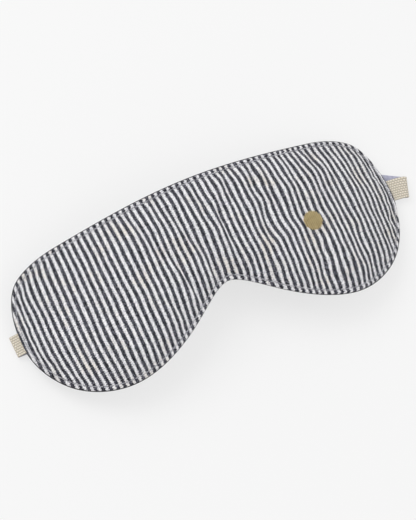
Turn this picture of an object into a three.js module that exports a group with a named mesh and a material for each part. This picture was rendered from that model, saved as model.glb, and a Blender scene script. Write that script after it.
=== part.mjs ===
// Padded sleep eye mask with an elastic head strap.
// Millimetres, +Z up. The mask lies face up as a shallow arch, its strap tucked underneath.
// +X runs along the mask to the wearer's left, +Y towards the forehead, +Z out of the front.
import * as THREE from "three";

// ---- Driving dimensions ----
const HALF_LENGTH = 104.3; // bridge to end, along the fabric
const HALF_HEIGHT = 40.8; // centre line to the top edge, and to the lobes' bottoms
const NOTCH_Y = -13; // top of the nose notch
const BEND_RADIUS = 250; // arch of the seam plane, about an axis along Y
const END_SEAM_Z = 4.5; // height of the seam plane at the two ends

const CLOTH = 0.7; // each outer cloth with its turned-in allowance
const CLEARANCE = 0.3; // between faces that touch
const RIM_HALF_GAP = 0.45; // seam plane to the inner face of either cloth at the rim
const FRONT_CROWN = 4.7; // how far the padding lifts the front above its rim
const BACK_CROWN = 2.2;
const STITCH_INSET = 2; // edge to the line of top-stitching
const CROWN_INSET = 2.4; // where the padding starts to rise
const CROWN_RUN = 19; // width over which it rises
const CROWN_POWER = 2.2; // how roundly it rises
const END_TAPER = { from: 50, to: 100, thinner: 0.45, longer: 25 }; // the padding thins towards the ends

const INTERLINING = 0.4;
const BACKING = 0.4; // stabiliser under the embroidered dot
const INTERLINING_INSET = 5.5;
const WADDING_INSET = 7;

const SEAM_INSET = 1.2; // edge to the hidden closing seam
const SEAM_THREAD = { width: 0.4, height: 0.2 };
const SEAM_RISE = 0.8; // the closing seam steps up to pass over the strap
const TOP_THREAD = { width: 0.4, height: 0.35 };

const DOT = { s: 50.9, y: -1.8, radius: 4.9, height: 0.6 };
const DOT_BACKING_RADIUS = 8;

const STRAP = { width: 10.5, thickness: 1, y: 0.9 };
const STRAP_CAUGHT = 4; // length held between the two cloths
const STRAP_LIFT = { front: 0.7, back: 0.35 }; // the rim swells where it grips the strap
const STRAP_LIFT_REACH = { flat: 7.6, fade: 6, depth: 7 };
// Each end leaves the seam, folds round and returns under the mask. Slants are in plan, towards the chin
// on the way out. The skewed right fold turns the strap from its tab's slant to its run's.
const RIGHT_FOLD = {
  x: 109.4,
  radius: 1.75,
  leave: 3,
  arrive: 3,
  slant: THREE.MathUtils.degToRad(12),
  returnSlant: THREE.MathUtils.degToRad(28),
  steps: 8,
};
const LEFT_FOLD = { x: 103.6, radius: 1.2, leave: 0.9, arrive: 0.8, slant: 0, returnSlant: 0, steps: 6 };
const TAB_STEPS = 5;
const ANCHOR_RETURN = 9; // flat length of each sewn end under the mask
const RUN_PULL = 62; // how firmly each end's heading carries into the run
const RUN_STEPS = 28;

const HALF_STEPS = 36; // stations along the top edge, and along the bottom edge
const SPINE_SHARE = 0.72; // length of the middle line against the outline
const NORMAL_INSETS = [0, STITCH_INSET, 5, 9]; // rings that follow the outline
const SPINE_RINGS = [0.35, 0.7]; // rings on the way from there to the middle line

// ---- Outline: half of it, from the top of the bridge round to the nose notch ----
const END = new THREE.Vector2(HALF_LENGTH, 0);
const v = (x, y) => new THREE.Vector2(x, y);
const topCurves = [
  new THREE.CubicBezierCurve(v(0, HALF_HEIGHT), v(26, HALF_HEIGHT), v(50, 37.8), v(70, 35.9)),
  new THREE.CubicBezierCurve(v(70, 35.9), v(80, 34.95), v(91, 32), v(96, 27)),
  new THREE.CubicBezierCurve(v(96, 27), v(101, 22), v(HALF_LENGTH, 12), END),
];
const bottomCurves = [
  new THREE.CubicBezierCurve(v(0, NOTCH_Y), v(6, NOTCH_Y), v(15, -21.1), v(24, -27)),
  new THREE.CubicBezierCurve(v(24, -27), v(33.5, -33.2), v(48, -HALF_HEIGHT), v(62, -HALF_HEIGHT)),
  new THREE.CubicBezierCurve(v(62, -HALF_HEIGHT), v(74, -HALF_HEIGHT), v(86, -35.2), v(93, -27.5)),
  new THREE.CubicBezierCurve(v(93, -27.5), v(99, -21), v(HALF_LENGTH, -11), END),
];

// Evenly spaced points from one end of the mask to the other, along the top or the bottom edge.
function edgePoints(curves) {
  const path = new THREE.CurvePath();
  curves.forEach((curve) => path.add(curve));
  const half = path.getSpacedPoints(HALF_STEPS / 2);
  const mirrored = half.slice(1).map((p) => v(-p.x, p.y));
  return [...half.reverse(), ...mirrored];
}

const topEdge = edgePoints(topCurves);
const bottomEdge = edgePoints(bottomCurves);
// The closed outline: right end, along the top to the left end, back along the bottom.
const outline = [...topEdge, ...bottomEdge.slice(1, -1).reverse()];
const COUNT = outline.length;

const spine = topEdge.map((top, i) => {
  const middle = top.clone().add(bottomEdge[i]).multiplyScalar(0.5);
  return v(SPINE_SHARE * middle.x, middle.y);
});
const spineIndex = (i) => (i <= HALF_STEPS ? i : COUNT - i);

const inward = outline.map((_, i) => {
  const before = outline[(i + COUNT - 1) % COUNT];
  const after = outline[(i + 1) % COUNT];
  const along = after.clone().sub(before).normalize();
  return v(-along.y, along.x);
});

const insetPoint = (i, inset) => outline[i].clone().addScaledVector(inward[i], inset);

function distanceToEdge(point) {
  let nearest = Infinity;
  for (let i = 0; i < COUNT; i++) {
    const a = outline[i];
    const b = outline[(i + 1) % COUNT].clone().sub(a);
    const along = THREE.MathUtils.clamp(point.clone().sub(a).dot(b) / b.lengthSq(), 0, 1);
    nearest = Math.min(nearest, point.distanceTo(a.clone().addScaledVector(b, along)));
  }
  return nearest;
}

// ---- Heights above the seam plane, at a point of the flat mask ----
function crown(point) {
  const { from, to, thinner, longer } = END_TAPER;
  const end = THREE.MathUtils.smoothstep(Math.abs(point.x), from, to);
  const share = THREE.MathUtils.clamp((distanceToEdge(point) - CROWN_INSET) / (CROWN_RUN + longer * end), 0, 1);
  return (1 - thinner * end) * (1 - (1 - share) ** CROWN_POWER);
}

// 1 where the rim grips the strap, fading to 0 around it.
function grip(point) {
  const { flat, fade, depth } = STRAP_LIFT_REACH;
  const across = 1 - THREE.MathUtils.smoothstep(Math.abs(point.y - STRAP.y), flat, flat + fade);
  const along = 1 - THREE.MathUtils.smoothstep(HALF_LENGTH - Math.abs(point.x), depth, depth + fade);
  return across * along;
}

const frontInner = (p) => RIM_HALF_GAP + FRONT_CROWN * crown(p) + STRAP_LIFT.front * grip(p);
const frontOuter = (p) => frontInner(p) + CLOTH;
const backInner = (p) => -(RIM_HALF_GAP + BACK_CROWN * crown(p) + STRAP_LIFT.back * grip(p));
const backOuter = (p) => backInner(p) - CLOTH;
const interliningBottom = (p) => backInner(p) + CLEARANCE;
const interliningTop = (p) => interliningBottom(p) + INTERLINING;
const waddingBottom = (p) => interliningTop(p) + CLEARANCE;
const waddingTop = (p) => frontInner(p) - 2 * CLEARANCE - BACKING;

// A point of the flat mask at a height above the seam plane, bent round the arch.
const END_ANGLE = HALF_LENGTH / BEND_RADIUS;
const ARCH_AXIS_Z = END_SEAM_Z - BEND_RADIUS * Math.cos(END_ANGLE);
function bend(point, height) {
  const angle = point.x / BEND_RADIUS;
  const radius = BEND_RADIUS + height;
  return new THREE.Vector3(radius * Math.sin(angle), point.y, ARCH_AXIS_Z + radius * Math.cos(angle));
}

// ---- Solids ----
function solid(name, vertices, triangles, material) {
  const geometry = new THREE.BufferGeometry();
  const numbers = vertices.flatMap((p) => p.toArray());
  geometry.setAttribute("position", new THREE.Float32BufferAttribute(numbers, 3));
  geometry.setIndex(triangles.flat());
  geometry.computeVertexNormals();
  const mesh = new THREE.Mesh(geometry, material);
  mesh.name = name;
  return mesh;
}

const quad = (a, b, c, d) => [[a, b, c], [a, c, d]];

// One layer of the mask: everything inside an inset outline, between two heights.
function layer(name, inset, bottom, top, material) {
  const insets = [inset, ...NORMAL_INSETS.filter((d) => d > inset)];
  const rings = insets.map((d) => outline.map((_, i) => insetPoint(i, d)));
  const innermost = rings[rings.length - 1];
  for (const share of SPINE_RINGS) {
    rings.push(innermost.map((p, i) => p.clone().lerp(spine[spineIndex(i)], share)));
  }
  const flat = [...rings.flat(), ...spine];
  const vertices = [...flat.map((p) => bend(p, top(p))), ...flat.map((p) => bend(p, bottom(p)))];
  const index = (ring, i) => {
    const place = ring < rings.length ? i % COUNT : spineIndex(i % COUNT);
    return ring * COUNT + place;
  };
  const triangles = [];
  for (let i = 0; i < COUNT; i++) {
    for (let ring = 0; ring < rings.length; ring++) {
      const upper = quad(index(ring, i), index(ring, i + 1), index(ring + 1, i + 1), index(ring + 1, i));
      triangles.push(...upper, ...upper.map(([a, b, c]) => [c + flat.length, b + flat.length, a + flat.length]));
    }
    const [a, b] = [index(0, i), index(0, i + 1)];
    triangles.push(...quad(a + flat.length, b + flat.length, b, a));
  }
  return solid(name, vertices, triangles, material);
}

// A bar of four-sided section through a list of stations, each given as its four corners.
function bar(name, sections, closed, material) {
  const corners = 4;
  const count = sections.length;
  const triangles = [];
  for (let i = 0; i < (closed ? count : count - 1); i++) {
    const j = (i + 1) % count;
    for (let k = 0; k < corners; k++) {
      const m = (k + 1) % corners;
      triangles.push(...quad(i * corners + k, i * corners + m, j * corners + m, j * corners + k));
    }
  }
  if (!closed) {
    const last = (count - 1) * corners;
    triangles.push(...quad(3, 2, 1, 0), ...quad(last, last + 1, last + 2, last + 3));
  }
  return solid(name, sections.flat(), triangles, material);
}

// A thread that runs all round the mask at one inset, its underside at a height.
function threadRing(name, inset, { width, height }, underside, material) {
  const sections = outline.map((_, i) => {
    const middle = insetPoint(i, inset);
    const outer = insetPoint(i, inset - width / 2);
    const inner = insetPoint(i, inset + width / 2);
    const low = underside(middle);
    return [bend(outer, low), bend(inner, low), bend(inner, low + height), bend(outer, low + height)];
  });
  return bar(name, sections, true, material);
}

// A round patch lying parallel to the front.
function patch(name, { s, y }, radius, underside, height, material) {
  const sides = 32;
  const low = underside(v(s, y));
  const rim = (level) => Array.from({ length: sides }, (_, i) => {
    const angle = (2 * Math.PI * i) / sides;
    return bend(v(s + radius * Math.cos(angle), y + radius * Math.sin(angle)), level);
  });
  const vertices = [...rim(low), ...rim(low + height), bend(v(s, y), low), bend(v(s, y), low + height)];
  const triangles = [];
  for (let i = 0; i < sides; i++) {
    const j = (i + 1) % sides;
    triangles.push(...quad(i, j, j + sides, i + sides), [2 * sides, j, i], [2 * sides + 1, i + sides, j + sides]);
  }
  return solid(name, vertices, triangles, material);
}

// ---- Strap route: from the right seam, round its fold, under the mask, round the left fold ----
const FLOOR_CENTRE = STRAP.thickness / 2;
const endX = BEND_RADIUS * Math.sin(END_ANGLE);

// Stations {p, turn} from the seam, round the fold to the floor: centre point, and the strap's slant in plan.
function sewnEnd(side, fold) {
  const { radius, slant, returnSlant } = fold;
  const outward = new THREE.Vector3(side * Math.cos(END_ANGLE), 0, -Math.sin(END_ANGLE));
  const start = new THREE.Vector3(side * endX, STRAP.y, END_SEAM_Z);
  const drift = ((fold.x - endX) * Math.tan(slant)) / 2;
  const top = new THREE.Vector3(side * fold.x, STRAP.y - drift, FLOOR_CENTRE + 2 * radius);
  const level = new THREE.Vector3(side * Math.cos(slant), -Math.sin(slant), 0);
  const tab = new THREE.CubicBezierCurve3(
    start,
    start.clone().addScaledVector(outward, fold.leave),
    top.clone().addScaledVector(level, -fold.arrive),
    top,
  );
  const caught = { p: start.clone().addScaledVector(outward, -STRAP_CAUGHT), turn: 0 };
  const leaving = tab.getSpacedPoints(TAB_STEPS).map((p, i) => ({ p, turn: (slant * i) / TAB_STEPS }));
  const stations = [caught, ...leaving];

  // The fold winds round an axis in plan, square to the middle of the two slants.
  const middle = (slant + returnSlant) / 2;
  const across = new THREE.Vector3(side * Math.cos(middle), -Math.sin(middle), 0);
  const axis = new THREE.Vector3(side * Math.sin(middle), Math.cos(middle), 0);
  const pitch = Math.tan((returnSlant - slant) / 2);
  for (let i = 1; i <= fold.steps; i++) {
    const angle = (Math.PI * i) / fold.steps;
    const p = top.clone().addScaledVector(across, radius * Math.sin(angle));
    p.addScaledVector(axis, pitch * radius * angle);
    p.z -= radius * (1 - Math.cos(angle));
    stations.push({ p, turn: slant + ((returnSlant - slant) * i) / fold.steps });
  }
  const heading = new THREE.Vector3(-side * Math.cos(returnSlant), Math.sin(returnSlant), 0);
  const foldEnd = stations[stations.length - 1].p;
  for (const length of [ANCHOR_RETURN / 2, ANCHOR_RETURN]) {
    stations.push({ p: foldEnd.clone().addScaledVector(heading, length), turn: returnSlant });
  }
  return { stations, heading, cut: foldEnd.clone().addScaledVector(heading, ANCHOR_RETURN + CLEARANCE) };
}

// The four corners of the strap at a station.
function strapSection({ p, turn }, along) {
  const across = new THREE.Vector3(Math.sin(turn), Math.cos(turn), 0).multiplyScalar(STRAP.width / 2);
  const up = along.clone().cross(across).normalize().multiplyScalar(STRAP.thickness / 2);
  const corner = (a, b) => p.clone().addScaledVector(across, a).addScaledVector(up, b);
  return [corner(-1, -1), corner(1, -1), corner(1, 1), corner(-1, 1)];
}

function strapPiece(name, stations, material) {
  const sections = stations.map((station, i) => {
    const before = stations[Math.max(i - 1, 0)].p;
    const after = stations[Math.min(i + 1, stations.length - 1)].p;
    return strapSection(station, after.clone().sub(before).normalize());
  });
  return bar(name, sections, false, material);
}

// ---- Materials ----
const finish = (color, roughness, metalness = 0) => new THREE.MeshStandardMaterial({ color, roughness, metalness });
const ticking = finish(0x8f9097, 0.9);
const lining = finish(0x1c1d22, 0.85);
const padding = finish(0xf2f1ed, 0.95);
const blackout = finish(0x2b2c30, 0.9);
const paleThread = finish(0xd6d5d8, 0.7);
const darkThread = finish(0x26262b, 0.75);
const goldThread = finish(0xb09a6a, 0.45, 0.3);
const backing = finish(0xe9e8e4, 0.9);
const elastic = finish(0xd8cfc0, 0.8);

// ---- Assembly ----
const mask = new THREE.Group();
mask.add(layer("front_panel", 0, frontInner, frontOuter, ticking));
mask.add(layer("back_panel", 0, backOuter, backInner, lining));
mask.add(layer("wadding", WADDING_INSET, waddingBottom, waddingTop, padding));
mask.add(layer("blackout_interlining", INTERLINING_INSET, interliningBottom, interliningTop, blackout));

const seamLow = (p) => -SEAM_THREAD.height / 2 + SEAM_RISE * grip(p);
mask.add(threadRing("edge_seam_thread", SEAM_INSET, SEAM_THREAD, seamLow, darkThread));
mask.add(threadRing("topstitch_thread", STITCH_INSET, TOP_THREAD, (p) => frontOuter(p) + CLEARANCE, paleThread));
const bobbinLow = (p) => backOuter(p) - CLEARANCE - TOP_THREAD.height;
mask.add(threadRing("bobbin_thread", STITCH_INSET, TOP_THREAD, bobbinLow, darkThread));

mask.add(patch("dot_embroidery", DOT, DOT.radius, (p) => frontOuter(p) + CLEARANCE, DOT.height, goldThread));
const backingLow = (p) => frontInner(p) - CLEARANCE - BACKING;
mask.add(patch("dot_backing", DOT, DOT_BACKING_RADIUS, backingLow, BACKING, backing));

// The strap is one length of elastic, divided where the sewn ends stop and the free run begins.
const right = sewnEnd(1, RIGHT_FOLD);
const left = sewnEnd(-1, LEFT_FOLD);
const run = new THREE.CubicBezierCurve3(
  right.cut,
  right.cut.clone().addScaledVector(right.heading, RUN_PULL),
  left.cut.clone().addScaledVector(left.heading, RUN_PULL),
  left.cut,
);
const runStations = Array.from({ length: RUN_STEPS + 1 }, (_, i) => {
  const tangent = run.getTangent(i / RUN_STEPS);
  return { p: run.getPoint(i / RUN_STEPS), turn: Math.atan2(tangent.y, -tangent.x) };
});

const strap = new THREE.Group();
strap.add(strapPiece("strap_right_end", right.stations, elastic));
strap.add(strapPiece("strap_run", runStations, elastic));
strap.add(strapPiece("strap_left_end", left.stations, elastic));
mask.add(strap);

// The origin is the middle of the footprint, on the surface that the mask lies on.
const box = new THREE.Box3().setFromObject(mask);
const middle = box.getCenter(new THREE.Vector3());
mask.position.set(-middle.x, -middle.y, -box.min.z);

export default mask;
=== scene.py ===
"""Padded sleep eye mask: striped ticking front, dark lining, elastic strap folded underneath."""
import math

import bmesh
import bpy
import numpy as np
from mathutils import Matrix, Vector, noise
from mathutils.kdtree import KDTree


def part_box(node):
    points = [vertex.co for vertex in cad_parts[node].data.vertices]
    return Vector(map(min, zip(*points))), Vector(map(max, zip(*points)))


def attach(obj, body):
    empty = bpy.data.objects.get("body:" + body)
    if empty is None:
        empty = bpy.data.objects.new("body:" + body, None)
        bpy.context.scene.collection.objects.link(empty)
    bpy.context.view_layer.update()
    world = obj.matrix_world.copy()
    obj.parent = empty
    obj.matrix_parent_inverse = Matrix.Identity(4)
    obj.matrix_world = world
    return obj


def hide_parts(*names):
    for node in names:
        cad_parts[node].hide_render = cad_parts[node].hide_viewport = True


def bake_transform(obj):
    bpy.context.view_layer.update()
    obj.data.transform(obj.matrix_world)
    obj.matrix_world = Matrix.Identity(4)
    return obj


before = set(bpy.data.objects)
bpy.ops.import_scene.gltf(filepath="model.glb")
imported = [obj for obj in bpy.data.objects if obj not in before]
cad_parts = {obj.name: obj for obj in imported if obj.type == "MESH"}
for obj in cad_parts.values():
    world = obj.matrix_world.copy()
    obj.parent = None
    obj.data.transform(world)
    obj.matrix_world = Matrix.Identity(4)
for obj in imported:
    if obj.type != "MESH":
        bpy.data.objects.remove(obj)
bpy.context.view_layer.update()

MM = 0.001

# ---- The flat mask, in millimetres along the cloth (s), up the face (y) and out of it (n) ----
HALF_LENGTH = 104.3
HALF_HEIGHT = 40.8
NOTCH_Y = -13.0
BEND_RADIUS = 250.0
RIM = 1.15  # seam plane to either face of the rim
FRONT_CROWN = 4.7
BACK_CROWN = 2.2
CROWN_INSET = 2.4
CROWN_RUN = 19.0
CROWN_POWER = 2.2
END_TAPER = {"from": 50, "to": 100, "thinner": 0.45, "longer": 25}  # padding thins to the ends
STITCH_INSET = 2.0
STITCH_PITCH = 2.6
CLOTH = 0.45
DOT = {"s": 50.9, "y": -1.8, "radius": 4.9}
STRAP_Y = 0.9
STRAP_WIDTH = 10.5

BRIDGE_X = sum(corner[0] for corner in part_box("front_panel")) / 2 / MM
FRONT_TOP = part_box("front_panel")[1][2] / MM
ARCH_AXIS_Z = FRONT_TOP - BEND_RADIUS - RIM - FRONT_CROWN

TOP_EDGE = (
    ((0, HALF_HEIGHT), (26, HALF_HEIGHT), (50, 37.8), (70, 35.9)),
    ((70, 35.9), (80, 34.95), (91, 32), (96, 27)),
    ((96, 27), (101, 22), (HALF_LENGTH, 12), (HALF_LENGTH, 0)),
)
BOTTOM_EDGE = (
    ((0, NOTCH_Y), (6, NOTCH_Y), (15, -21.1), (24, -27)),
    ((24, -27), (33.5, -33.2), (48, -HALF_HEIGHT), (62, -HALF_HEIGHT)),
    ((62, -HALF_HEIGHT), (74, -HALF_HEIGHT), (86, -35.2), (93, -27.5)),
    ((93, -27.5), (99, -21), (HALF_LENGTH, -11), (HALF_LENGTH, 0)),
)


def bezier(points, steps=40):
    a, b, c, d = (np.array(p, float) for p in points)
    t = np.linspace(0, 1, steps)[:, None]
    return a * (1 - t) ** 3 + 3 * b * t * (1 - t) ** 2 + 3 * c * t * t * (1 - t) + d * t ** 3


def half_edge(curves):
    """Points from the bridge to the right end."""
    parts = [bezier(c) for c in curves]
    return np.vstack([parts[0]] + [p[1:] for p in parts[1:]])


def mirrored(half):
    """The same edge from the left end to the right end."""
    return np.vstack([half[:0:-1] * (-1, 1), half])


TOP = mirrored(half_edge(TOP_EDGE))
BOTTOM = mirrored(half_edge(BOTTOM_EDGE))
OUTLINE = np.vstack([TOP[::-1], BOTTOM[1:-1]])  # right end, over the top, back along the bottom


def distance_to_edge(s, y):
    """Distance of flat points from the outline."""
    a = OUTLINE
    b = np.roll(OUTLINE, -1, axis=0) - a
    length = (b ** 2).sum(1)
    points = np.stack([s, y], 1)
    best = np.full(len(points), 1e9)
    for start in range(0, len(points), 4000):
        p = points[start:start + 4000, None] - a[None]
        along = np.clip((p * b).sum(2) / length, 0, 1)[..., None]
        best[start:start + 4000] = np.sqrt(((p - along * b) ** 2).sum(2)).min(1)
    return best


def loop_at(inset, spacing):
    """Evenly spaced points all round at one inset, each with its direction along the edge and inwards."""
    ahead = np.roll(OUTLINE, -1, axis=0) - np.roll(OUTLINE, 1, axis=0)
    ahead /= np.linalg.norm(ahead, axis=1)[:, None]
    path = OUTLINE + inset * np.stack([-ahead[:, 1], ahead[:, 0]], 1)
    path = np.vstack([path, path[:1]])
    run = np.concatenate([[0], np.cumsum(np.linalg.norm(np.diff(path, axis=0), axis=1))])
    count = round(run[-1] / spacing)
    at = (np.arange(count) + 0.5) * run[-1] / count
    place = np.stack([np.interp(at, run, path[:, k]) for k in (0, 1)], 1)
    along = np.roll(place, -1, axis=0) - np.roll(place, 1, axis=0)
    along /= np.linalg.norm(along, axis=1)[:, None]
    return place, along, np.stack([-along[:, 1], along[:, 0]], 1)


def bend(s, y, n):
    """Flat points, bent round the arch, in metres."""
    angle = s / BEND_RADIUS
    radius = BEND_RADIUS + n
    x = BRIDGE_X + radius * np.sin(angle)
    z = ARCH_AXIS_Z + radius * np.cos(angle)
    return np.stack([x, y, z], 1) * MM


def smoothstep(low, high, value):
    t = np.clip((value - low) / (high - low), 0, 1)
    return t * t * (3 - 2 * t)


def crown(s, d):
    end = smoothstep(END_TAPER["from"], END_TAPER["to"], np.abs(s))
    share = np.clip((d - CROWN_INSET) / (CROWN_RUN + END_TAPER["longer"] * end), 0, 1)
    return (1 - END_TAPER["thinner"] * end) * (1 - (1 - share) ** CROWN_POWER)


def grip(s, y):
    """1 where the rim holds the strap, fading to 0 around it."""
    across = 1 - smoothstep(6, 12, np.abs(y - STRAP_Y))
    return across * (1 - smoothstep(5, 13, HALF_LENGTH - np.abs(s)))


def perlin(s, y, size, seed):
    return np.array([noise.noise(Vector((a / size, b / size, seed))) for a, b in zip(s, y)])


# ---- Cloth: a grid laid over the mask's outline ----
def flat_points(a, b):
    """Grid places from -1 to 1, closer together near the rim, as flat points inside the outline."""
    a, b = (t * (1.25 - 0.25 * t * t) for t in (a, b))
    x = a * np.sqrt(1 - b * b / 2)
    y = b * np.sqrt(1 - a * a / 2)
    column = np.sqrt(np.clip(1 - x * x, 1e-12, 1))
    share = np.clip(y / column, -1, 1) * (column > 1e-4)
    s = HALF_LENGTH * x
    low = np.interp(s, BOTTOM[:, 0], BOTTOM[:, 1])
    high = np.interp(s, TOP[:, 0], TOP[:, 1])
    return s, (low + high) / 2 + share * (high - low) / 2


def grid_bmesh(columns, rows):
    bm = bmesh.new()
    bmesh.ops.create_grid(bm, x_segments=columns, y_segments=rows, size=1.0)
    places = np.array([v.co[:2] for v in bm.verts])
    return bm, places[:, 0], places[:, 1]


SIM_COLUMNS, SIM_ROWS = 150, 62
SIM_SCALE = 10  # the solver is steadier at ten times the size
SIM_FRAMES = 22


def blur(field, radius):
    """Smooths a grid of values, keeping its edges."""
    weights = np.exp(-0.5 * (np.arange(-2 * radius, 2 * radius + 1) / radius) ** 2)
    weights /= weights.sum()
    for axis in (0, 1):
        padded = np.pad(field, [(2 * radius,) * 2 if k == axis else (0, 0) for k in (0, 1)], mode="reflect")
        field = np.apply_along_axis(lambda line: np.convolve(line, weights, mode="valid"), axis, padded)
    return field


def puffed(slack, seed):
    """Blows up the flat cloth, held along its stitching. Returns grids of how its points moved."""
    shape = (SIM_ROWS + 1, SIM_COLUMNS + 1)
    bm, a, b = grid_bmesh(SIM_COLUMNS, SIM_ROWS)
    s, y = flat_points(a, b)
    n = 0.25 * perlin(s, y, 9.0, seed)
    start = np.stack([s, y, n], 1) * MM * SIM_SCALE
    for vert, place in zip(bm.verts, start):
        vert.co = place
    mesh = bpy.data.meshes.new("puff_sim")
    bm.to_mesh(mesh)
    bm.free()
    cloth = bpy.data.objects.new("puff_sim", mesh)
    bpy.context.scene.collection.objects.link(cloth)
    held = cloth.vertex_groups.new(name="held")
    held.add([int(i) for i in np.nonzero(distance_to_edge(s, y) < STITCH_INSET + 0.1)[0]], 1.0, "REPLACE")
    modifier = cloth.modifiers.new("Cloth", "CLOTH")
    settings = modifier.settings
    settings.quality = 6
    settings.mass = 0.2
    settings.tension_stiffness = 12
    settings.compression_stiffness = 12
    settings.shear_stiffness = 5
    settings.bending_stiffness = 0.08
    settings.tension_damping = settings.compression_damping = settings.shear_damping = 12
    settings.vertex_group_mass = "held"
    settings.shrink_min = -slack
    settings.use_pressure = True
    settings.uniform_pressure_force = 6
    settings.effector_weights.gravity = 0
    modifier.collision_settings.use_collision = False
    modifier.point_cache.frame_end = SIM_FRAMES
    for step in range(1, SIM_FRAMES + 1):
        bpy.context.scene.frame_set(step)
    done = cloth.evaluated_get(bpy.context.evaluated_depsgraph_get()).to_mesh()
    end = np.array([v.co for v in done.vertices])
    moved = (end - start) / (MM * SIM_SCALE)
    bpy.data.objects.remove(cloth)
    bpy.context.scene.frame_set(1)
    row = np.round((b + 1) / 2 * SIM_ROWS).astype(int)
    column = np.round((a + 1) / 2 * SIM_COLUMNS).astype(int)
    grids = []
    for k in range(3):
        grid = np.zeros(shape)
        grid[row, column] = moved[:, k]
        grids.append(grid)
    print("puff rise", round(float(grids[2].max()), 2), "mm")
    return grids


def sample(grid, a, b):
    """Reads a grid of values between its points."""
    rows, columns = grid.shape
    y = np.clip((b + 1) / 2 * (rows - 1), 0, rows - 1.001)
    x = np.clip((a + 1) / 2 * (columns - 1), 0, columns - 1.001)
    i, j = y.astype(int), x.astype(int)
    fy, fx = y - i, x - j
    low = grid[i, j] * (1 - fx) + grid[i, j + 1] * fx
    high = grid[i + 1, j] * (1 - fx) + grid[i + 1, j + 1] * fx
    return low * (1 - fy) + high * fy


# Soft creases in the front: middle (s, y), direction in degrees, half length, half width, height.
CREASES = (
    (62, 22, 70, 11, 2.6, 0.75),
    (51, 11, 112, 9, 2.2, -0.7),
    (57, 17, 100, 8, 2.4, 0.5),
    (18, 14, 118, 16, 4.5, 0.6),
    (34, 22, 75, 14, 5.0, -0.6),
    (61, -22, 120, 10, 2.4, 0.8),
    (70, -16, 118, 9, 2.6, -0.55),
    (80, 8, 80, 14, 3.6, 0.55),
    (36, -8, 110, 12, 4.0, 0.5),
    (12, -10, 50, 8, 2.4, 0.6),
    (-11, -9, 130, 8, 2.6, 0.4),
    (88, -10, 95, 10, 3.0, -0.5),
    (-48, 12, 84, 15, 5.0, 0.35),
    (-70, -10, 98, 14, 4.6, -0.3),
)


def creases(s, y):
    height = np.zeros(len(s))
    for cs, cy, degrees, length, width, depth in CREASES:
        c, w = math.cos(math.radians(degrees)), math.sin(math.radians(degrees))
        p = (s - cs) * c + (y - cy) * w
        q = (y - cy) * c - (s - cs) * w
        height += depth * np.exp(-(p / length) ** 2 - (q / width) ** 2)
    return height


def rim_profile(d, edge):
    """Height of the rim: it rolls up from the seam, and dips at the stitching."""
    roll = RIM * np.sqrt(np.clip(1 - (1 - np.clip(d / 1.1, 0, 1)) ** 2, 0, 1))
    ditch = 0.5 * np.exp(-((d - STITCH_INSET) / 0.5) ** 2)
    return np.maximum(roll, edge) - ditch


def face_height(s, y, d, crown_height, lumps, seed):
    """Height of one cloth face above the seam plane."""
    inner = smoothstep(STITCH_INSET, STITCH_INSET + 7, d)
    height = rim_profile(d, 0.04) + crown_height * crown(s, d) + 0.45 * grip(s, y)
    height += lumps * inner * (perlin(s, y, 24.0, seed) * 1.1 + perlin(s, y, 11.0, seed + 5) * 0.45)
    # the cloth gathers a little at each few stitches, and flattens inwards
    gather = perlin(s, y, 4.2, seed + 9) * np.exp(-((d - STITCH_INSET - 1.6) / 2.4) ** 2)
    outside = perlin(s, y, 3.4, seed + 12) * np.exp(-((d - 1.3) / 0.9) ** 2)
    return height + 0.45 * gather + 0.22 * outside


def finish_mesh(name, bm, smooth=True):
    """Turns a bmesh into a shaded object at the origin."""
    for face in bm.faces:
        face.smooth = smooth
    mesh = bpy.data.meshes.new(name)
    bm.to_mesh(mesh)
    bm.free()
    piece = bpy.data.objects.new(name, mesh)
    bpy.context.scene.collection.objects.link(piece)
    return piece


def lay_uv(bm, u, v):
    """Writes the cloth's own coordinates, in millimetres over 100, as its UV map."""
    layer = bm.loops.layers.uv.new("cloth")
    for face in bm.faces:
        for loop in face.loops:
            i = loop.vert.index
            loop[layer].uv = (u[i] / 100, v[i] / 100)


FINE_COLUMNS, FINE_ROWS = 300, 124


LINING_PROUD = (1.0035, 1.009)  # the lining shows as a thin line past the front's edge


def grain_wander(s, y):
    """How far the weave strays sideways where the cloth was eased over the padding."""
    strength = 0.35 + 0.65 * smoothstep(-25, 35, s)
    return strength * (1.5 * perlin(s, y, 19.0, 41.0) + 0.7 * perlin(s, y, 8.5, 47.0))


def cloth_face(name, side, height, moved):
    """One outer cloth: side 1 is the front, -1 the back."""
    bm, a, b = grid_bmesh(FINE_COLUMNS, FINE_ROWS)
    bm.verts.index_update()
    s, y = flat_points(a, b)
    d = distance_to_edge(s, y)
    slide_s, slide_y, rise = (sample(grid, a, b) for grid in moved)
    n = side * (height(s, y, d) + rise)
    proud_s, proud_y = (1, 1) if side > 0 else LINING_PROUD
    places = bend((s + slide_s) * proud_s, (y + slide_y) * proud_y, n)
    lay_uv(bm, s + grain_wander(s, y), y)
    for vert, place in zip(bm.verts, places):
        vert.co = place
    if side < 0:
        bmesh.ops.reverse_faces(bm, faces=bm.faces)
    piece = finish_mesh(name, bm)
    wall = piece.modifiers.new("Cloth thickness", "SOLIDIFY")
    wall.thickness = CLOTH * MM
    wall.offset = -1
    wall.use_even_offset = False
    return piece


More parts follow.
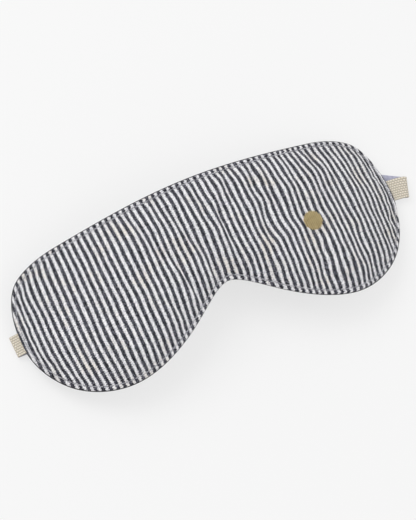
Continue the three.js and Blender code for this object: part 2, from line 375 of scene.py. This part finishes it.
def built_level(height, moved):
    """A function that gives how far the built cloth stands out at any flat place."""
    bm, a, b = grid_bmesh(FINE_COLUMNS, FINE_ROWS)
    bm.free()
    s, y = flat_points(a, b)
    slide_s, slide_y, rise = (sample(grid, a, b) for grid in moved)
    n = height(s, y, distance_to_edge(s, y)) + rise
    tree = KDTree(len(s))
    for i, place in enumerate(zip(s + slide_s, y + slide_y)):
        tree.insert((*place, 0), i)
    tree.balance()

    def level(at_s, at_y):
        found = [tree.find_n((p, q, 0), 4) for p, q in zip(at_s, at_y)]
        return np.array([sum(n[hit[1]] for hit in near) / len(near) for near in found])
    return level


def relief(slack, seed, cap):
    """What the simulation adds to the plain crown: puckers, and how far the stripes wander."""
    slide_s, slide_y, rise = puffed(slack, seed)
    rise = np.clip(rise - blur(rise, 5), -cap, cap)
    rows, columns = rise.shape
    b, a = np.meshgrid(np.linspace(-1, 1, rows), np.linspace(-1, 1, columns), indexing="ij")
    s, y = flat_points(a.ravel(), b.ravel())
    free = smoothstep(STITCH_INSET, STITCH_INSET + 6, distance_to_edge(s, y)).reshape(rise.shape)
    return [free * np.clip(slide_s, -1.2, 1.2), free * np.clip(slide_y, -1.2, 1.2), free * rise]


# ---- Materials ----
def srgb(text):
    """A #rrggbb colour as the linear values that shaders use."""
    channels = [int(text[i:i + 2], 16) / 255 for i in (1, 3, 5)]
    return (*[c / 12.92 if c <= 0.04045 else ((c + 0.055) / 1.055) ** 2.4 for c in channels], 1.0)


class Finish:
    """A material and its node graph. Each method adds one node and returns its output."""

    def __init__(self, name, **sockets):
        self.material = bpy.data.materials.new(name)
        self.material.use_nodes = True
        self.tree = self.material.node_tree
        self.shader = self.tree.nodes["Principled BSDF"]
        for socket, value in sockets.items():
            self.shader.inputs[socket.replace("_", " ")].default_value = value

    def feed(self, socket, value):
        if isinstance(value, bpy.types.NodeSocket):
            self.tree.links.new(value, socket)
        else:
            socket.default_value = value

    def node(self, kind, values=(), output=0, **settings):
        made = self.tree.nodes.new(kind)
        for key, value in settings.items():
            setattr(made, key, value)
        for key, value in dict(values).items():
            self.feed(made.inputs[key], value)
        return made.outputs[output]

    def math(self, operation, *values, clamp=False):
        return self.node("ShaderNodeMath", dict(enumerate(values)), operation=operation, use_clamp=clamp)

    def ramp(self, value, low, high, start=0.0, end=1.0):
        values = {0: value, 1: low, 2: high, 3: start, 4: end}
        return self.node("ShaderNodeMapRange", values, clamp=True)

    def smooth(self, value, low, high):
        values = {0: value, 1: low, 2: high, 3: 0.0, 4: 1.0}
        return self.node("ShaderNodeMapRange", values, interpolation_type="SMOOTHSTEP")

    def mix(self, share, a, b):
        return self.node("ShaderNodeMix", {0: share, 6: a, 7: b}, output=2, data_type="RGBA")

    def noise(self, at, scale, detail=2.0, roughness=0.5):
        values = {"Vector": at, "Scale": scale, "Detail": detail, "Roughness": roughness}
        return self.node("ShaderNodeTexNoise", values)

    def cloth_millimetres(self):
        """The cloth's own coordinates, in millimetres: (vector, along, up)."""
        uv = self.node("ShaderNodeUVMap", uv_map="cloth")
        scaled = self.node("ShaderNodeVectorMath", {0: uv, 3: 100.0}, operation="SCALE")
        split = self.tree.nodes.new("ShaderNodeSeparateXYZ")
        self.tree.links.new(scaled, split.inputs[0])
        return scaled, split.outputs[0], split.outputs[1]

    def object_millimetres(self):
        place = self.node("ShaderNodeTexCoord", output=3)
        return self.node("ShaderNodeVectorMath", {0: place, 3: 1000.0}, operation="SCALE")

    def colour(self, value):
        self.feed(self.shader.inputs["Base Color"], value)

    def rough(self, value):
        self.feed(self.shader.inputs["Roughness"], value)

    def glow_to_camera(self, colour, share):
        """Evens out a backdrop where the camera sees it, and leaves the rest of its light and shade alone."""
        glow = self.node("ShaderNodeEmission", {0: colour, 1: 1.0})
        seen = self.math("MULTIPLY", self.node("ShaderNodeLightPath"), share)
        blend = self.node("ShaderNodeMixShader", {0: seen, 1: self.shader.outputs[0], 2: glow})
        self.tree.links.new(blend, self.tree.nodes["Material Output"].inputs[0])

    def bump(self, height, millimetres, strength=1.0):
        values = {"Height": height, "Distance": millimetres * MM, "Strength": strength}
        self.feed(self.shader.inputs["Normal"], self.node("ShaderNodeBump", values))


STRIPE_PITCH = 3.25
WARP_PITCH = STRIPE_PITCH / 8  # four dark threads, then four pale ones
WEFT_PITCH = 0.5
DARK_SHARE = 0.54  # of each stripe pair
EDGE_STEP = 0.2  # how far a stripe's edge steps to and fro
EDGE_STEP_PITCH = 1.1
EDGE_STEP_SLANT = 5.2
EDGE_DRIFT = 1.1  # how far it wanders at random


def ticking_material():
    """Warp-faced cotton ticking: charcoal and white warp stripes, white weft showing between."""
    f = Finish(
        "striped_cotton", Roughness=0.88, Sheen_Weight=0.1, Sheen_Roughness=0.5, Specular_IOR_Level=0.2
    )
    place, s, y = f.cloth_millimetres()

    def wave(size, slant):
        """A sideways wave up the cloth, stepping on from stripe to stripe."""
        turns = f.math("ADD", f.math("DIVIDE", y, size), f.math("DIVIDE", s, slant))
        return f.math("SINE", f.math("MULTIPLY", turns, 2 * math.pi))

    # each stripe's edge is a row of steps, where its last thread passes over and under the weft
    drift = f.math("SUBTRACT", f.noise(place, 1.1, 2.0, 0.6), 0.5)
    steps = f.math("MULTIPLY", wave(EDGE_STEP_PITCH, EDGE_STEP_SLANT), EDGE_STEP)
    shift = f.math("ADD", steps, f.math("MULTIPLY", drift, EDGE_DRIFT))
    worn = f.math("ADD", s, shift)
    stripe = f.math("FRACT", f.math("ADD", f.math("DIVIDE", worn, STRIPE_PITCH), 0.5))
    off_middle = f.math("ABSOLUTE", f.math("SUBTRACT", stripe, 0.5))
    dark = f.math("SUBTRACT", 1.0, f.smooth(off_middle, DARK_SHARE / 2 - 0.03, DARK_SHARE / 2 + 0.03))

    row = f.math("FLOOR", f.math("DIVIDE", y, WEFT_PITCH))
    column = f.math("FLOOR", f.math("ADD", f.math("DIVIDE", s, WARP_PITCH), f.math("MULTIPLY", row, 0.5)))
    cell = f.node("ShaderNodeCombineXYZ", {0: column, 1: row})
    chance = f.node("ShaderNodeTexWhiteNoise", {0: cell}, noise_dimensions="2D")
    warp = f.math("FRACT", f.math("ADD", f.math("DIVIDE", s, WARP_PITCH), f.math("MULTIPLY", row, 0.5)))
    weft = f.math("FRACT", f.math("DIVIDE", y, WEFT_PITCH))
    warp_hill = f.math("SINE", f.math("MULTIPLY", warp, math.pi))
    weft_hill = f.math("SINE", f.math("MULTIPLY", weft, math.pi))
    hill = f.math("MULTIPLY", warp_hill, weft_hill)

    mottle = f.noise(place, 1.3, 3.0, 0.75)
    tone = f.math("ADD", f.math("MULTIPLY", chance, 0.45), f.math("MULTIPLY", f.ramp(mottle, 0.3, 0.7), 0.55))
    blotch = f.noise(place, 0.06, 3.0, 0.6)
    charcoal = f.mix(f.smooth(tone, 0.15, 0.95), srgb("#101015"), srgb("#5c5c68"))
    # painted shade: the flecks are the white weft, coloured grey where it lies recessed under the warp
    fleck = f.math("MULTIPLY", f.smooth(hill, 0.3, 0.9), f.smooth(chance, 0.72, 0.98))
    charcoal = f.mix(f.math("MULTIPLY", fleck, 0.8), charcoal, srgb("#b4b4be"))
    white = f.mix(f.smooth(tone, 0.05, 0.7), srgb("#b0b0ba"), srgb("#fbfafb"))
    white = f.mix(f.math("MULTIPLY", f.smooth(blotch, 0.5, 0.72), 0.45), white, srgb("#e9dfcd"))
    f.colour(f.mix(dark, white, charcoal))
    f.bump(f.math("ADD", hill, mottle), 0.2, 0.6)
    return f.material


def lining_material():
    """Dark plain-weave cotton, painted darker between its threads as shade."""
    f = Finish("dark_lining", Roughness=0.85, Sheen_Weight=0.2, Sheen_Roughness=0.45, Specular_IOR_Level=0.3)
    place, s, y = f.cloth_millimetres()
    threads = []
    for value in (s, y):
        near = f.math("ABSOLUTE", f.math("SUBTRACT", f.math("FRACT", f.math("DIVIDE", value, 0.36)), 0.5))
        threads.append(f.math("SUBTRACT", 1.0, f.math("MULTIPLY", near, 2.0)))
    weave = f.math("MAXIMUM", *threads)
    mottle = f.noise(place, 1.8, 3.0, 0.6)
    # painted shade: the colour darkens in the gaps between the threads, under a random mottle
    tone = f.math("MULTIPLY", f.ramp(mottle, 0.3, 0.7), f.ramp(weave, 0.3, 1.0, 0.4, 1.0))
    f.colour(f.mix(tone, srgb("#121317"), srgb("#2c2d34")))
    f.bump(f.math("ADD", weave, mottle), 0.12, 0.5)
    return f.material


def thread_material(name, low, high, metallic=0.0, roughness=0.6):
    """Twisted sewing thread: a fine slanting ply, painted lighter on each ply and darker between them as
    highlight and shade, over a random tone.
    """
    f = Finish(name, Roughness=roughness, Metallic=metallic, Sheen_Weight=0.15)
    at = f.object_millimetres()
    ply = f.node("ShaderNodeTexWave", {"Vector": at, "Scale": 1.6, "Distortion": 2.0, "Detail": 1.0},
                 output=1, bands_direction="DIAGONAL")
    # painted highlight and shade: the ply's bands lighten and darken the colour; the noise is random tone
    tone = f.math("ADD", f.math("MULTIPLY", ply, 0.6), f.math("MULTIPLY", f.noise(at, 0.8, 2.0), 0.4))
    f.colour(f.mix(f.ramp(tone, 0.25, 0.8), srgb(low), srgb(high)))
    f.bump(ply, 0.08, 0.5)
    return f.material


def fibre_material(name, low, high, size, rough=0.95):
    """Matted fibres, as in wadding or non-woven cloth."""
    f = Finish(name, Roughness=rough, Sheen_Weight=0.1)
    at = f.object_millimetres()
    fuzz = f.noise(at, size, 4.0, 0.7)
    f.colour(f.mix(f.ramp(fuzz, 0.3, 0.7), srgb(low), srgb(high)))
    f.bump(fuzz, 0.3, 0.6)
    return f.material


RIBS = 9
RIB_PITCH = STRAP_WIDTH / RIBS


def elastic_materials():
    """The strap's ribbed cream face, with painted shade in the grooves between its ribs, and its smooth inner
    face, the same white elastic painted lavender grey as shade.
    """
    f = Finish("strap_elastic", Roughness=0.75, Sheen_Weight=0.15, Specular_IOR_Level=0.3)
    place, along, across = f.cloth_millimetres()
    rib = f.math("FRACT", f.math("DIVIDE", across, RIB_PITCH))
    hill = f.math("SUBTRACT", 1.0, f.math("MULTIPLY", f.math("ABSOLUTE", f.math("SUBTRACT", rib, 0.5)), 2.0))
    row = f.math("FLOOR", f.math("DIVIDE", across, RIB_PITCH))
    step = f.math("FRACT", f.math("ADD", f.math("DIVIDE", along, 1.3), f.math("MULTIPLY", row, 0.5)))
    tick = f.math("MULTIPLY", f.smooth(step, 0.55, 0.65), f.smooth(hill, 0.15, 0.5))
    mottle = f.noise(place, 1.6, 3.0, 0.65)
    cream = f.mix(f.ramp(mottle, 0.3, 0.7), srgb("#d6cdbd"), srgb("#f6f1e6"))
    cream = f.mix(f.math("MULTIPLY", tick, 0.55), cream, srgb("#ab9871"))
    # painted shade: the grooves between the ribs are darkened towards brown grey
    groove_shade = f.math("SUBTRACT", 1.0, f.smooth(hill, 0.05, 0.5))
    f.colour(f.mix(f.math("MULTIPLY", groove_shade, 0.75), cream, srgb("#857a69")))
    f.bump(f.math("ADD", f.math("MULTIPLY", f.smooth(step, 0.5, 0.7), 0.5), mottle), 0.15, 0.5)
    # painted shade: the inner face is white elastic, coloured lavender grey to stand in for the shade it lies
    # in
    g = Finish("strap_inner_face_painted_shade", Roughness=0.7, Sheen_Weight=0.15, Specular_IOR_Level=0.3)
    place, along, across = g.cloth_millimetres()
    line = g.math("SINE", g.math("MULTIPLY", across, 2 * math.pi / 0.6))
    knit = g.math("SINE", g.math("MULTIPLY", along, 2 * math.pi / 0.8))
    ribbing = g.math("ADD", line, g.math("MULTIPLY", knit, 0.5))
    tone = g.math("ADD", g.math("MULTIPLY", ribbing, 0.25), g.noise(place, 0.8, 2.0))
    g.colour(g.mix(g.ramp(tone, 0.1, 0.9), srgb("#a6a6bf"), srgb("#d2d2e2")))
    g.bump(line, 0.08, 0.5)
    return f.material, g.material


# ---- Stitches ----
def add_stitches(bm, centres, length, width, height):
    """Adds one thread bead for each stitch, through a function from its own axes to a place."""
    for place in centres:
        made = bmesh.ops.create_uvsphere(bm, u_segments=8, v_segments=7, radius=0.5)["verts"]
        local = np.array([v.co for v in made])
        # the bead's poles lie along the stitch; its belly is a long flat tube, diving in at both ends
        along = local[:, 2] * 2
        ball = np.sqrt(np.clip(1 - along ** 2, 0, 1))
        girth = np.sqrt(np.clip(1 - along ** 4, 0, 1)) / np.maximum(ball, 1e-3)
        points = place(along * length / 2, local[:, 0] * width * girth, local[:, 1] * height * girth)
        for vert, co in zip(made, points):
            vert.co = co


def stitch_row(name, side, face):
    """A row of lockstitches all round, lying in its ditch."""
    centres, along, inward = loop_at(STITCH_INSET, STITCH_PITCH)
    level = face(centres[:, 0], centres[:, 1])

    def placer(i):
        tilt = 0.10 * noise.noise(Vector((i * 0.7, side, 0)))

        def place(l, w, h):
            q = w + l * tilt
            flat = centres[i] + np.outer(l, along[i]) + np.outer(q, inward[i])
            arch = 0.12 * (1 - (2 * l / STITCH_PITCH) ** 2)
            return bend(flat[:, 0], flat[:, 1], side * (level[i] + 0.12 + arch + h))
        return place

    bm = bmesh.new()
    add_stitches(bm, [placer(i) for i in range(len(centres))], STITCH_PITCH * 0.9, 0.55, 0.42)
    bmesh.ops.recalc_face_normals(bm, faces=bm.faces)
    return finish_mesh(name, bm)


DOT_THREAD = 1.0
DOT_STITCH = 3.0


def dot_embroidery(face):
    """A filled dot of satin stitches that run up the face, over a low core painted a darker gold as shade in
    the gaps between them.
    """
    level = float(face(np.array([DOT["s"]]), np.array([DOT["y"]]))[0])
    bm = bmesh.new()
    shaded_core = bmesh.ops.create_uvsphere(bm, u_segments=40, v_segments=10, radius=1.0)["verts"]
    local = np.array([v.co for v in shaded_core])
    reach = DOT["radius"] - 0.3
    core_s = DOT["s"] + local[:, 0] * reach
    core_y = DOT["y"] + local[:, 1] * reach
    for vert, co in zip(shaded_core, bend(core_s, core_y, level + 0.05 + local[:, 2] * 0.4)):
        vert.co = co
    # the core's faces take the darker gold, painted shade between the stitches
    for face in bm.faces:
        face.material_index = 1
    columns = int(2 * DOT["radius"] / (DOT_THREAD * 0.9))
    places = []
    for i in range(columns):
        x = (i + 0.5) * 2 * DOT["radius"] / columns - DOT["radius"]
        half = math.sqrt(DOT["radius"] ** 2 - x * x)
        pieces = max(1, round(2 * half / DOT_STITCH))
        start = -half
        for k in range(pieces):
            stagger = 0.9 * noise.noise(Vector((i * 1.7, k * 3.1, 4))) if k < pieces - 1 else 0
            end = -half + 2 * half * (k + 1) / pieces + stagger
            places.append((x, (start + end) / 2, end - start + 0.5, i))
            start = end

    def placer(x, y, length, i):
        lift = 0.14 * noise.noise(Vector((i * 2.3, y, 8)))

        def place(l, w, h):
            dome = 0.35 * (1 - (x * x + (y + l) ** 2) / DOT["radius"] ** 2)
            out = level + 0.2 + np.maximum(dome, -0.1) + lift + h
            return bend(DOT["s"] + x + w, DOT["y"] + y + l * length, out)
        return place

    add_stitches(bm, [placer(*p) for p in places], 1.0, DOT_THREAD * 0.74, 0.7)
    bmesh.ops.recalc_face_normals(bm, faces=bm.faces)
    return finish_mesh("gold_dot_stitching", bm)


# ---- Strap ----
STRAP_HALF = 0.5  # half its thickness
STRAP_CAUGHT = 4.0
RIGHT_FOLD = {"x": 109.4, "radius": 1.75, "leave": 3.0, "arrive": 3.0, "slant": 12, "return": 28}
LEFT_FOLD = {"x": 103.6, "radius": 1.2, "leave": 0.9, "arrive": 0.8, "slant": 0, "return": 0}
END_ANGLE = HALF_LENGTH / BEND_RADIUS
SEAM_X = BEND_RADIUS * math.sin(END_ANGLE)
SEAM_Z = ARCH_AXIS_Z + BEND_RADIUS * math.cos(END_ANGLE)
RETURN = 9.3
RUN_PULL = 62.0


def sewn_end(side, folded):
    """Middle line from the seam to the free run, the slant at each point, and the heading it leaves with."""
    radius = folded["radius"]
    slant, returned = math.radians(folded["slant"]), math.radians(folded["return"])
    start = np.array([side * SEAM_X, STRAP_Y, SEAM_Z])
    outward = np.array([side * math.cos(END_ANGLE), 0, -math.sin(END_ANGLE)])
    drift = (folded["x"] - SEAM_X) * math.tan(slant) / 2
    top = np.array([side * folded["x"], STRAP_Y - drift, STRAP_HALF + 2 * radius])
    level = np.array([side * math.cos(slant), -math.sin(slant), 0])
    steps = 16
    tab = bezier((start, start + folded["leave"] * outward, top - folded["arrive"] * level, top), steps)
    middle = (slant + returned) / 2
    across = np.array([side * math.cos(middle), -math.sin(middle), 0])
    axis = np.array([side * math.sin(middle), math.cos(middle), 0])
    share = np.linspace(0, 1, steps + 1)[1:, None]
    angle = math.pi * share
    wound = top + radius * (across * np.sin(angle) + axis * angle * math.tan((returned - slant) / 2))
    wound[:, 2:] -= radius * (1 - np.cos(angle))
    heading = np.array([-side * math.cos(returned), math.sin(returned), 0])
    points = np.vstack([start - STRAP_CAUGHT * outward, tab, wound, wound[-1] + heading * RETURN])
    winding = slant + (returned - slant) * share[:, 0]
    turns = np.concatenate([[0], np.linspace(0, slant, steps), winding, [returned]])
    return points, turns, heading


def strap_route():
    """Stations from the right seam to the left seam: centre points, and the slant of the width in plan."""
    right, right_turns, right_way = sewn_end(1, RIGHT_FOLD)
    left, left_turns, left_way = sewn_end(-1, LEFT_FOLD)
    start, end = right[-1], left[-1]
    run = bezier((start, start + RUN_PULL * right_way, end + RUN_PULL * left_way, end), 60)
    ahead = np.gradient(run, axis=0)
    points = np.vstack([right[:-1], run, left[-2::-1]]) + (BRIDGE_X, 0, 0)
    run_turns = np.arctan2(ahead[:, 1], -ahead[:, 0])
    return points, np.concatenate([right_turns[:-1], run_turns, left_turns[-2::-1]])


ROUTE, SWING = strap_route()
ROUTE_AT = np.concatenate([[0], np.cumsum(np.linalg.norm(np.diff(ROUTE, axis=0), axis=1))])
STRAP_LENGTH = ROUTE_AT[-1]


def strap_points(l, w, h):
    """Places on the strap: along it, across it, and above its middle, in metres."""
    def middle(at):
        return np.stack([np.interp(at, ROUTE_AT, ROUTE[:, k]) for k in range(3)], 1)

    centre = middle(l)
    step = 0.4
    ahead = middle(l + step) - middle(l - step)
    swing = np.interp(l, ROUTE_AT, SWING)
    across = np.stack([np.sin(swing), np.cos(swing), np.zeros(len(l))], 1)
    up = np.cross(ahead, across)
    up /= np.linalg.norm(up, axis=1)[:, None]
    return (centre + across * w[:, None] + up * h[:, None]) * MM


def strap_half(name, start, end, ribbed, shaded_inner_face):
    """Half of the strap as a closed strip: ribs on its outer face, flat inside."""
    columns = round((end - start) / 0.8)
    bm, _, _ = grid_bmesh(columns, RIBS * 6)
    grown = bmesh.ops.extrude_face_region(bm, geom=bm.faces[:])["geom"]
    lifted = {v for v in grown if isinstance(v, bmesh.types.BMVert)}
    bm.verts.index_update()
    places = np.array([v.co[:2] for v in bm.verts])
    outer = np.array([v in lifted for v in bm.verts])
    l = start + (places[:, 0] + 1) / 2 * (end - start)
    w = places[:, 1] * STRAP_WIDTH / 2
    rib = np.abs(np.sin(math.pi * (w + STRAP_WIDTH / 2) / RIB_PITCH))
    slub = np.array([noise.noise(Vector((x * 0.9, round(z / RIB_PITCH), 2))) for x, z in zip(l, w)])
    ribbed_height = 0.2 + 0.26 * rib ** 0.7 + 0.05 * slub
    h = np.where(outer, ribbed_height, -STRAP_HALF + 0.04)
    lay_uv(bm, l, w + STRAP_WIDTH / 2)
    for face in bm.faces:
        face.material_index = 0 if any(v in lifted for v in face.verts) else 1
    for vert, place in zip(bm.verts, strap_points(l, w, h)):
        vert.co = place
    bmesh.ops.recalc_face_normals(bm, faces=bm.faces)
    piece = finish_mesh(name, bm)
    piece.data.materials.append(ribbed)
    piece.data.materials.append(shaded_inner_face)
    return piece


# ---- Stage ----
AZIMUTH, ELEVATION, ROLL = (math.radians(a) for a in (18.0, 9.17, 25.44))
LENS = 800.0
DISTANCE = 6.975 * LENS  # millimetres, so that the view is 251 mm high at the bridge
AIM = (-4.25, -5.9)  # from the bridge, right and up in the view


def set_camera():
    u = Vector((math.cos(AZIMUTH), 0, math.sin(AZIMUTH)))
    level = math.cos(ELEVATION)
    away = Vector((-math.sin(AZIMUTH) * level, -math.sin(ELEVATION), math.cos(AZIMUTH) * level))
    v = away.cross(u)
    right = u * math.cos(ROLL) - v * math.sin(ROLL)
    up = u * math.sin(ROLL) + v * math.cos(ROLL)
    bridge = Vector((BRIDGE_X, 3.0, FRONT_TOP))
    place = (bridge + right * AIM[0] + up * AIM[1] + away * DISTANCE) * MM
    data = bpy.data.cameras.new("camera")
    data.lens = LENS
    data.sensor_width = 36
    data.clip_end = 40
    camera = bpy.data.objects.new("camera", data)
    camera.matrix_world = Matrix.Translation(place) @ Matrix((right, up, away)).transposed().to_4x4()
    bpy.context.scene.collection.objects.link(camera)
    bpy.context.scene.camera = camera


def set_stage():
    bm = bmesh.new()
    bmesh.ops.create_grid(bm, x_segments=2, y_segments=2, size=12.0)
    floor = finish_mesh("floor", bm, smooth=False)
    paper = Finish("floor_paper", Roughness=0.9, Specular_IOR_Level=0.0)
    paper.colour(srgb("#f6f6f6"))
    paper.glow_to_camera(srgb("#f7f7f7"), 0.75)
    floor.data.materials.append(paper.material)
    world = bpy.data.worlds.new("soft_room")
    world.use_nodes = True
    world.node_tree.nodes["Background"].inputs[0].default_value = (1, 1, 1, 1)
    world.node_tree.nodes["Background"].inputs[1].default_value = 0.62
    bpy.context.scene.world = world
    for name, place, size, power in (
        ("key", (-0.55, 0.75, 1.1), 0.9, 9.0),
        ("fill", (0.8, -0.5, 1.0), 1.0, 3.0),
    ):
        light = bpy.data.lights.new(name, "AREA")
        light.size = size
        light.energy = power
        lamp = bpy.data.objects.new(name, light)
        lamp.location = place
        lamp.rotation_euler = (-Vector(place)).to_track_quat("-Z", "Y").to_euler()
        bpy.context.scene.collection.objects.link(lamp)
    bpy.context.scene.view_settings.view_transform = "Standard"


# ---- Assembly ----
def dress(piece, material, slot, *nodes):
    """Gives a finished piece its material, and puts it on the mask in place of its solids. Its slot argument
    is not used.
    """
    piece.data.materials.append(material)
    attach(piece, "mask")
    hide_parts(*nodes)


def front_height(s, y, d):
    return face_height(s, y, d, FRONT_CROWN, 1.0, 3.0) + creases(s, y) * smoothstep(STITCH_INSET, 8, d)


def back_height(s, y, d):
    return face_height(s, y, d, BACK_CROWN, 0.7, 31.0)


WADDING_SHARE = (0.93, 0.83)  # of the mask's length and height
PAD_COLUMNS, PAD_ROWS = 110, 46


def wadding_pad():
    """The padding between the cloths: a soft crowned closed pad."""
    bm, a, _ = grid_bmesh(PAD_COLUMNS, PAD_ROWS)
    bmesh.ops.extrude_face_region(bm, geom=bm.faces[:])
    upper = np.arange(len(bm.verts)) >= len(a)
    places = np.array([v.co[:2] for v in bm.verts])
    s, y = flat_points(places[:, 0], places[:, 1])
    s, y = s * WADDING_SHARE[0], y * WADDING_SHARE[1] - 1.0
    d = distance_to_edge(s, y)
    soft = 0.15 * perlin(s, y, 6.0, 61.0)
    thick = smoothstep(4.5, 12, d)
    top = (FRONT_CROWN * crown(s, d) - 1.5) * thick + soft
    bottom = -(BACK_CROWN * crown(s, d) - 1.2) * thick + soft - 0.05
    for vert, place in zip(bm.verts, bend(s, y, np.where(upper, np.maximum(top, bottom + 0.4), bottom))):
        vert.co = place
    bmesh.ops.recalc_face_normals(bm, faces=bm.faces)
    return finish_mesh("wadding_pad", bm)


def main():
    set_camera()
    set_stage()

    front_moved = relief(0.045, 3.0, 0.9)
    back_moved = relief(0.045, 17.0, 0.7)
    ticking, lining = ticking_material(), lining_material()
    front = cloth_face("striped_front", 1, front_height, front_moved)
    dress(front, ticking, "striped_cotton", "front_panel")
    back = cloth_face("dark_lining_back", -1, back_height, back_moved)
    dress(back, lining, "dark_lining", "back_panel")

    pale = thread_material("pale_thread", "#85858d", "#c4c4ca")
    dark = thread_material("dark_thread", "#17171b", "#34343b")
    front_level = built_level(front_height, front_moved)
    top_row = stitch_row("topstitching", 1, front_level)
    dress(top_row, pale, "pale_thread", "topstitch_thread")
    under_row = stitch_row("bobbin_stitching", -1, built_level(back_height, back_moved))
    dress(under_row, dark, "dark_thread", "bobbin_thread")

    gold = thread_material("gold_thread", "#86703c", "#e8d6a4", metallic=0.2, roughness=0.4)
    dot = dot_embroidery(front_level)
    dress(dot, gold, "gold_thread", "dot_embroidery")
    # painted shade: the core is gold thread coloured darker, for the gaps between the stitches
    shaded_core = thread_material("gold_thread_core_painted_shade", "#5f4c22", "#8a713c", metallic=0.2, roughness=0.55)
    dot.data.materials.append(shaded_core)

    ribbed, shaded_inner_face = elastic_materials()
    middle = STRAP_LENGTH / 2
    for name, start, end, node, side in (
        ("strap_right_half", 0, middle, "strap_right_end", 1),
        ("strap_left_half", middle, STRAP_LENGTH, "strap_left_end", -1),
    ):
        half = strap_half(name, start, end, ribbed, shaded_inner_face)
        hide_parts(node, "strap_run")
        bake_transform(half)

    pad = wadding_pad()
    dress(pad, fibre_material("wadding_fibre", "#d9d8d2", "#fbfaf6", 0.8), "wadding", "wadding")

    hidden = {
        "blackout_interlining": fibre_material("blackout_cloth", "#1f2024", "#33343a", 1.6),
        "edge_seam_thread": dark,
        "dot_backing": fibre_material("backing_cloth", "#dcdbd6", "#f3f2ee", 1.4),
    }
    for node, material in hidden.items():
        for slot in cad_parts[node].material_slots:
            slot.material = material


main()
